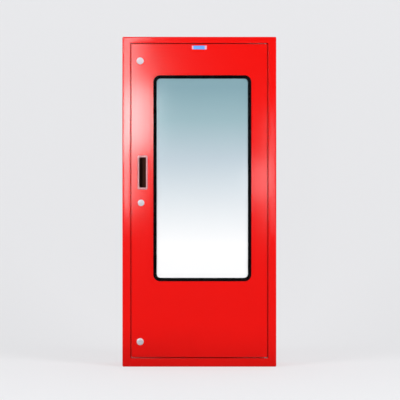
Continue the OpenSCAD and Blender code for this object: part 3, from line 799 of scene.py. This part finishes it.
class CABINET_OT_door(PieceOperator, Operator):
    """Door skin folded into a pan, cut for the window, the pull, the lock and the latches"""
    bl_idname = "cabinet.door"
    bl_label = "Door pan"

    def execute(self, context):
        sizes = self.sizes
        low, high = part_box("door_skin")
        bm = box_bmesh(low, high)
        rear = facing(bm, (0, 1, 0))
        front_edges = list(facing(bm, (0, -1, 0)).edges)
        rear_edges = list(rear.edges)
        depth_edges = [e for e in bm.edges if e not in front_edges and e not in rear_edges]
        bmesh.ops.inset_region(bm, faces=[rear], thickness=sizes.flange, use_boundary=True,
                               use_even_offset=True)
        bmesh.ops.delete(bm, geom=[rear], context="FACES_ONLY")
        round_edges(bm, front_edges + depth_edges + rear_edges, sizes.door_bend, 4)
        pan = with_wall(link_mesh("door_pan", bm), sizes.sheet)
        cutters = []
        glass_low, glass_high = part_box("window_glass")
        rubber_low, rubber_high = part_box("window_gasket")
        middle = (rubber_low + rubber_high) / 2
        size = (rubber_high - rubber_low + glass_high - glass_low) / 2
        reach = 5 * MM
        front, past = low.y - reach, low.y + reach
        corner = 25 * MM
        cutters.append(sleeve("window_cut", (middle.x, middle.z),
                              [(size.x, size.z, corner, front), (size.x, size.z, corner, past)],
                              sizes.steps, closed=False))
        cup_low, cup_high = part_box("pull_cup")
        middle, size = (cup_low + cup_high) / 2, cup_high - cup_low
        corner = 4 * MM
        cutters.append(sleeve("pull_cut", (middle.x, middle.z),
                              [(size.x, size.z, corner, front), (size.x, size.z, corner, past)],
                              sizes.steps, closed=False))
        for node in ("lock_collar", "latch_collar_upper", "latch_collar_lower"):
            ring_low, ring_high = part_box(node)
            centre = (ring_low + ring_high) / 2
            cutters.append(turned(node + "_cut", (centre.x, low.y, centre.z),
                                  rod(sizes.barrel, reach)))
        bush_low, bush_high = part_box("hinge_bushes")
        bush = (bush_low + bush_high) / 2
        radius = (bush_high.x - bush_low.x) / 2
        for index, level in enumerate((low.z, high.z)):
            cutters.append(turned(f"bush_cut_{index}", (bush.x, bush.y, level),
                                  rod(radius, reach), axis="Z"))
        hand_over(cut_away(pan, cutters), "door_skin")
        return {"FINISHED"}


class CABINET_OT_stiffeners(PieceOperator, Operator):
    """Channels welded to the back of the door"""
    bl_idname = "cabinet.stiffeners"
    bl_label = "Stiffeners"

    def execute(self, context):
        for node in ("stiffener_top", "stiffener_bottom", "stiffener_side"):
            finished_copy(node, self.sizes.machined)
        return {"FINISHED"}


class CABINET_OT_rubber(PieceOperator, Operator):
    """Window rubber with two rounded lobes, a locking groove and its two channels"""
    bl_idname = "cabinet.rubber"
    bl_label = "Window rubber"

    def execute(self, context):
        sizes = self.sizes
        low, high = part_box("window_gasket")
        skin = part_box("door_skin")[0].y
        glass_low, glass_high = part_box("window_glass")
        centre = ((low.x + high.x) / 2, (low.z + high.z) / 2)
        size = (high.x - low.x, high.z - low.z)
        face = sizes.rubber_face
        groove = (glass_low.x - low.x) / 2
        # Points (distance in from the outer edge, y) round the section: two lobes, then the back.
        valley = skin - 0.4 * MM
        rise = valley - low.y
        steps, fullness = 8, 0.7
        section = []
        for start, end in ((0, 0.47), (0.53, 1.0)):
            middle, half = (start + end) / 2 * face, (end - start) / 2 * face
            for k in range(steps + 1):
                turn = math.pi * k / steps
                lift = rise * math.sin(turn) ** fullness if 0 < k < steps else 0
                section.append((middle - half * math.cos(turn), valley - lift))
        chamfer = 1.2 * MM
        section += [(face, glass_low.y), (2 * groove, glass_low.y), (2 * groove, glass_high.y),
                    (face, glass_high.y), (face, high.y - chamfer), (face - chamfer, high.y),
                    (chamfer, high.y), (0, high.y - chamfer), (0, skin + sizes.sheet),
                    (groove, skin + sizes.sheet), (groove, skin)]
        loops = [(size[0] - 2 * d, size[1] - 2 * d, sizes.corner - 0.8 * d, y) for d, y in section]
        hand_over(sleeve("window_rubber", centre, loops, sizes.steps), "window_gasket")
        return {"FINISHED"}


class CABINET_OT_glass(PieceOperator, Operator):
    """Window pane with ground edges"""
    bl_idname = "cabinet.glass"
    bl_label = "Glass"

    def execute(self, context):
        low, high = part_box("window_glass")
        size = high - low
        ground = 0.8 * MM
        radius = 20 * MM
        loops = [(size.x - 2 * ground, size.z - 2 * ground, radius - ground, low.y),
                 (size.x, size.z, radius, low.y + ground),
                 (size.x, size.z, radius, high.y - ground),
                 (size.x - 2 * ground, size.z - 2 * ground, radius - ground, high.y)]
        centre = ((low.x + high.x) / 2, (low.z + high.z) / 2)
        pane = sleeve("glass_pane", centre, loops, self.sizes.steps, closed=False)
        hand_over(pane, "window_glass")
        return {"FINISHED"}


class CABINET_OT_badge(PieceOperator, Operator):
    """Blank badge near the head of the door"""
    bl_idname = "cabinet.badge"
    bl_label = "Badge"

    def execute(self, context):
        low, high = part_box("nameplate")
        size = high - low
        edge = self.sizes.fine
        corner = 1.8 * MM
        loops = [(size.x - 2 * edge, size.z - 2 * edge, corner - edge, low.y),
                 (size.x - 0.5 * edge, size.z - 0.5 * edge, corner - edge / 2, low.y + 0.3 * edge),
                 (size.x, size.z, corner, low.y + edge),
                 (size.x, size.z, corner, high.y)]
        centre = ((low.x + high.x) / 2, (low.z + high.z) / 2)
        hand_over(sleeve("blank_badge", centre, loops, 6, closed=False), "nameplate")
        return {"FINISHED"}


class CABINET_OT_pull(PieceOperator, Operator):
    """Flush pull: plated bezel, moulded cup and the lip that the fingers hook behind"""
    bl_idname = "cabinet.pull"
    bl_label = "Flush pull"

    def execute(self, context):
        low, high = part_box("pull_bezel")
        cup_low, cup_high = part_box("pull_cup")
        centre = ((low.x + high.x) / 2, (low.z + high.z) / 2)
        outer = (high.x - low.x, high.z - low.z)
        wall = self.sizes.cup_wall
        inner = (cup_high.x - cup_low.x - 2 * wall, cup_high.z - cup_low.z - 2 * wall)
        rim = [(outer[axis] - inner[axis]) / 2 for axis in (0, 1)]
        proud = high.y - low.y
        outer_corner, inner_corner = 8 * MM, 3 * MM
        steps, fullness = 14, 0.8
        loops = []
        for k in range(steps + 1):
            turn = math.pi * k / steps
            part = (1 - math.cos(turn)) / 2
            corner = outer_corner + (inner_corner - outer_corner) * part
            loops.append((outer[0] - 2 * rim[0] * part, outer[1] - 2 * rim[1] * part,
                          corner, high.y - proud * math.sin(turn) ** fullness))
        surround = sleeve("pull_surround", centre, loops, self.sizes.steps)
        hand_over(surround, "pull_bezel", look="polished")
        floor = cup_high.y - wall
        bend, cup_corner = 3 * MM, 4 * MM
        inside = []
        for k in range(6):
            turn = math.pi / 2 * k / 5
            short = 2 * bend * (1 - math.sin(turn))
            inside.append((inner[0] - short, inner[1] - short, bend / 2 * (1 + math.sin(turn)),
                           floor - bend * (1 - math.cos(turn))))
        inside += [(inner[0], inner[1], bend, cup_low.y),
                   (inner[0] + 2 * wall, inner[1] + 2 * wall, cup_corner, cup_low.y),
                   (inner[0] + 2 * wall, inner[1] + 2 * wall, cup_corner, cup_high.y)]
        hand_over(sleeve("pull_recess", centre, inside, self.sizes.steps, closed=False), "pull_cup")
        finished_copy("pull_grip", edge=0.7 * MM, segments=3)
        return {"FINISHED"}


def collar_piece(node, name):
    """Threaded barrel with a domed collar, bored for its spindle."""
    sizes = bpy.context.scene.cabinet_sizes
    bore, barrel, pitch = sizes.bore, sizes.barrel, sizes.pitch
    low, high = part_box(node)
    centre = (low + high) / 2
    radius = (high.x - low.x) / 2
    door_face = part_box("door_skin")[0].y
    proud = door_face - low.y
    rim = 2.0 * MM
    crown = 0.9 * MM
    edge, thread = sizes.machined, 0.5 * MM
    flat = bore + edge
    # From the bore outwards: the dome, the rounded rim, the collar's back, then the thread.
    profile = [(bore, edge)]
    profile += [(flat + (radius - rim - flat) * t, crown * t * t) for t in (k / 6 for k in range(6))]
    profile += [(radius - rim + rim * math.sin(a), crown + rim - rim * math.cos(a))
                for a in (math.pi / 2 * k / 5 for k in range(6))]
    profile += [(radius, proud), (barrel, proud)]
    depth = high.y - low.y
    turns = int((depth - proud - 2 * MM) / pitch)
    for k in range(turns):
        along = proud + 1 * MM + k * pitch
        profile += [(barrel, along), (barrel - thread, along + pitch / 2)]
    profile += [(barrel, depth - thread), (barrel - thread, depth), (bore, depth), (bore, edge)]
    piece = turned(name, (centre.x, low.y, centre.z), profile)
    return hand_over(piece, node)


class CABINET_OT_lock(PieceOperator, Operator):
    """Key lock: collar, plug with its keyway, and the cam behind the door"""
    bl_idname = "cabinet.lock"
    bl_label = "Lock"

    def execute(self, context):
        collar_piece("lock_collar", "lock_collar_turned")
        finished_copy("lock_plug", edge=0.3 * MM)
        finished_copy("lock_cam", self.sizes.fine)
        return {"FINISHED"}


class CABINET_OT_latches(PieceOperator, Operator):
    """Quarter-turn latches with their cams, and the nuts that hold all three barrels"""
    bl_idname = "cabinet.latches"
    bl_label = "Latches"

    def execute(self, context):
        for side in ("upper", "lower"):
            collar_piece("latch_collar_" + side, f"latch_{side}_collar_turned")
            finished_copy("latch_spindle_" + side, edge=0.3 * MM)
            finished_copy("latch_cam_" + side, self.sizes.fine)
        finished_copy("latch_nuts", edge=0.5 * MM)
        return {"FINISHED"}


class CABINET_OT_riser(PieceOperator, Operator):
    """Inlet coupling, pipe, clamps and tee"""
    bl_idname = "cabinet.riser"
    bl_label = "Riser"

    def execute(self, context):
        for node in ("inlet_coupling", "inlet_pipe", "riser_tee"):
            finished_copy(node, self.sizes.machined * 1.5)
        finished_copy("pipe_clamps", self.sizes.machined)
        return {"FINISHED"}


class CABINET_OT_hose_valve(PieceOperator, Operator):
    """Hose valve with its handwheel and blank cap"""
    bl_idname = "cabinet.hose_valve"
    bl_label = "Hose valve"

    def execute(self, context):
        for node in ("valve_body", "valve_bonnet", "valve_gland", "outlet_cap"):
            finished_copy(node, self.sizes.cast)
        for node in ("valve_disc", "valve_stem", "handwheel_nut"):
            finished_copy(node, self.sizes.machined)
        finished_copy("handwheel", edge=0.8 * MM)
        return {"FINISHED"}


class CABINET_OT_reel_supply(PieceOperator, Operator):
    """Branch from the tee to the reel with its stop valve"""
    bl_idname = "cabinet.reel_supply"
    bl_label = "Reel supply"

    def execute(self, context):
        for node in ("reducer_bush", "branch_elbow", "stop_valve"):
            finished_copy(node, self.sizes.cast * 0.7)
        for node in ("branch_pipes", "stop_lever"):
            finished_copy(node, self.sizes.machined)
        return {"FINISHED"}


def disc_piece(node, name, side):
    """Pressed reel disc with a swaged ring and a rolled rim, its outer face towards side."""
    low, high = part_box(node)
    centre = (low + high) / 2
    radius = (high.x - low.x) / 2
    sheet = high.y - low.y
    hub = bpy.context.scene.cabinet_sizes.hub
    step, bead = 2.5 * MM, 3.5 * MM
    drum = (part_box("reel_drum")[1].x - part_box("reel_drum")[0].x) / 2
    inner, outer = drum + 8 * MM, radius * 0.72
    ring = [(hub, 0), (inner, 0), (inner + step, step), (outer, step), (outer + step, 0),
            (radius - 10 * MM, 0), (radius - bead, 0)]
    around = [(radius - bead + bead * math.sin(a), bead - bead * math.cos(a))
              for a in (math.radians(30 * k) for k in range(1, 9))]
    back = [(r, depth + sheet) for r, depth in reversed(ring[:6])]
    face = low.y if side < 0 else high.y
    profile = [(r, -side * depth) for r, depth in ring + around + back + ring[:1]]
    piece = turned(name, (centre.x, face, centre.z), profile, steps=128)
    return hand_over(piece, node)


class CABINET_OT_reel(PieceOperator, Operator):
    """Hose reel on its wall bracket"""
    bl_idname = "cabinet.reel"
    bl_label = "Hose reel"

    def execute(self, context):
        for node in ("reel_bracket", "reel_spindle", "spindle_cap", "reel_drum"):
            finished_copy(node, self.sizes.machined)
        disc_piece("reel_disc_front", "reel_disc_front_pressed", -1)
        disc_piece("reel_disc_rear", "reel_disc_rear_pressed", 1)
        return {"FINISHED"}


def softbox(name, place, aim, size, power):
    """Rectangular area light at place, turned to shine on aim."""
    light = bpy.data.lights.new(name, "AREA")
    light.shape = "RECTANGLE"
    light.size, light.size_y = size
    light.energy = power
    lamp = bpy.data.objects.new(name, light)
    bpy.context.scene.collection.objects.link(lamp)
    lamp.location = place
    lamp.visible_camera = False
    lamp.rotation_euler = (Vector(aim) - Vector(place)).to_track_quat("-Z", "Y").to_euler()


def studio_world(name, stage):
    """Soft room light, dim behind the camera so that flat gloss stays deep, pale where seen."""
    world = bpy.data.worlds.new(name)
    world.use_nodes = True
    tree = world.node_tree
    sky = tree.nodes["Background"]
    sky.inputs["Color"].default_value = (0.95, 0.97, 1.0, 1)
    side = add(tree, "ShaderNodeSeparateXYZ",
               {0: add(tree, "ShaderNodeTexCoord").outputs["Generated"]})
    level = add(tree, "ShaderNodeMapRange", {"Value": side.outputs["Y"]},
                interpolation_type="SMOOTHSTEP")
    level.inputs["From Min"].default_value = -0.97
    level.inputs["From Max"].default_value = -0.25
    level.inputs["To Min"].default_value = stage.dim
    level.inputs["To Max"].default_value = stage.room
    path = add(tree, "ShaderNodeLightPath")
    seen = maths(tree, "MULTIPLY", path.outputs["Is Camera Ray"], 0.8)
    strength = maths(tree, "MAXIMUM", level.outputs[0], seen)
    tree.links.new(strength, sky.inputs["Strength"])
    return world


# Lamps at the camera's plane that the paint's gloss mirrors as soft lights:
# name, place across, height, width, breadth upwards, power in watts.
GLOWS = (
    ("left_glow", -0.66, 1.51, 0.42, 0.55, 14),
    ("left_strip", -0.71, 1.56, 0.2, 1.7, 12),
    ("left_head", -0.66, 2.14, 0.14, 0.36, 1.6),
    ("right_glow", 0.62, 0.94, 0.34, 0.3, 1.8),
    ("right_strip", 0.71, 1.0, 0.09, 1.05, 1.5),
)


class CABINET_OT_stage(PieceOperator, Operator):
    """Camera, soft light and the pale floor that curves up into a wall"""
    bl_idname = "cabinet.stage"
    bl_label = "Stage"

    def execute(self, context):
        scene = context.scene
        stage = scene.cabinet_stage
        camera_data = bpy.data.cameras.new("camera")
        camera_data.sensor_width = 36
        camera_data.lens = stage.lens
        camera_data.clip_end = 60
        camera = bpy.data.objects.new("camera", camera_data)
        scene.collection.objects.link(camera)
        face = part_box("stile_left")[0].y
        distance = stage.field * stage.lens / camera_data.sensor_width
        camera.location = (stage.eye_across, face - distance, stage.eye_height)
        camera.rotation_euler = (math.pi / 2, 0, 0)
        scene.camera = camera

        # Metres: the floor's front edge, the wall, its height, the curve between, half the width.
        floor_front, wall, height, sweep, side = -50.0, 3.0, 8.0, 2.0, 50.0
        bm = bmesh.new()
        profile = [(floor_front, 0)]
        profile += [(wall - sweep + sweep * math.sin(a), sweep - sweep * math.cos(a))
                    for a in (math.pi / 2 * k / 16 for k in range(17))]
        profile += [(wall, height)]
        verts = [bm.verts.new((-side, y, z)) for y, z in profile]
        edges = [bm.edges.new(pair) for pair in zip(verts, verts[1:])]
        out = bmesh.ops.extrude_edge_only(bm, edges=edges)["geom"]
        bmesh.ops.translate(bm, vec=(2 * side, 0, 0), verts=verts_of(out))
        backdrop = link_mesh("backdrop", bm)
        backdrop.data.flip_normals()
        material, tree, shader = start_material("backdrop_paper")
        tone = effect(tree, "tone_drift", Colour=(*stage.backdrop, 1), Scale=2.0, Amount=0.01,
                      Dust=0.0)
        tree.links.new(tone.outputs["Colour"], shader.inputs["Base Color"])
        shader.inputs["Roughness"].default_value = 0.9
        shader.inputs["Emission Color"].default_value = (0.98, 0.985, 1.0, 1)
        shader.inputs["Emission Strength"].default_value = stage.lift
        away = add(tree, "ShaderNodeNewGeometry").outputs["Backfacing"]
        tree.links.new(maths(tree, "SUBTRACT", 1.0, away), shader.inputs["Alpha"])
        backdrop.data.materials.append(material)
        backdrop.visible_glossy = False

        scene.world = studio_world("studio", stage)
        scene.view_settings.view_transform = "Standard"
        middle = (0, 0, CAD_BOX[1].z / 2)
        softbox("key", (4.2, -3.8, 3.4), middle, (2.4, 2.4), stage.key)
        softbox("fill", (-4.2, -3.8, 3.4), middle, (2.4, 2.4), stage.key * 0.85)
        for label, x, z, width, height, power in GLOWS:
            softbox(label, (x, face - distance, z), (x, 0, z), (width, height), power)
        return {"FINISHED"}


class CABINET_PT_panel(Panel):
    """Sizes, colours and the cabinet's pieces"""
    bl_idname = "CABINET_PT_panel"
    bl_label = "Standpipe cabinet"
    bl_space_type = "VIEW_3D"
    bl_region_type = "UI"
    bl_category = "Cabinet"

    def draw(self, context):
        layout = self.layout
        scene = context.scene
        for group in (scene.cabinet_sizes, scene.cabinet_colours, scene.cabinet_stage):
            box = layout.box()
            for name in group.__annotations__:
                box.prop(group, name)
        for step in STEPS:
            layout.operator(step.bl_idname)


STEPS = (
    CABINET_OT_stage, CABINET_OT_shell, CABINET_OT_back, CABINET_OT_hinges, CABINET_OT_buffers,
    CABINET_OT_door, CABINET_OT_stiffeners, CABINET_OT_rubber, CABINET_OT_glass,
    CABINET_OT_badge, CABINET_OT_pull, CABINET_OT_lock, CABINET_OT_latches, CABINET_OT_riser,
    CABINET_OT_hose_valve, CABINET_OT_reel_supply, CABINET_OT_reel,
)
CLASSES = (CabinetSizes, CabinetColours, CabinetStage, *STEPS, CABINET_PT_panel)


def register():
    for item in CLASSES:
        bpy.utils.register_class(item)
    bpy.types.Scene.cabinet_sizes = PointerProperty(type=CabinetSizes)
    bpy.types.Scene.cabinet_colours = PointerProperty(type=CabinetColours)
    bpy.types.Scene.cabinet_stage = PointerProperty(type=CabinetStage)


def unregister():
    del bpy.types.Scene.cabinet_stage
    del bpy.types.Scene.cabinet_colours
    del bpy.types.Scene.cabinet_sizes
    for item in reversed(CLASSES):
        bpy.utils.unregister_class(item)


def main():
    register()
    for step in STEPS:
        group, name = step.bl_idname.split(".")
        getattr(getattr(bpy.ops, group), name)()


if __name__ == "__main__":
    main()
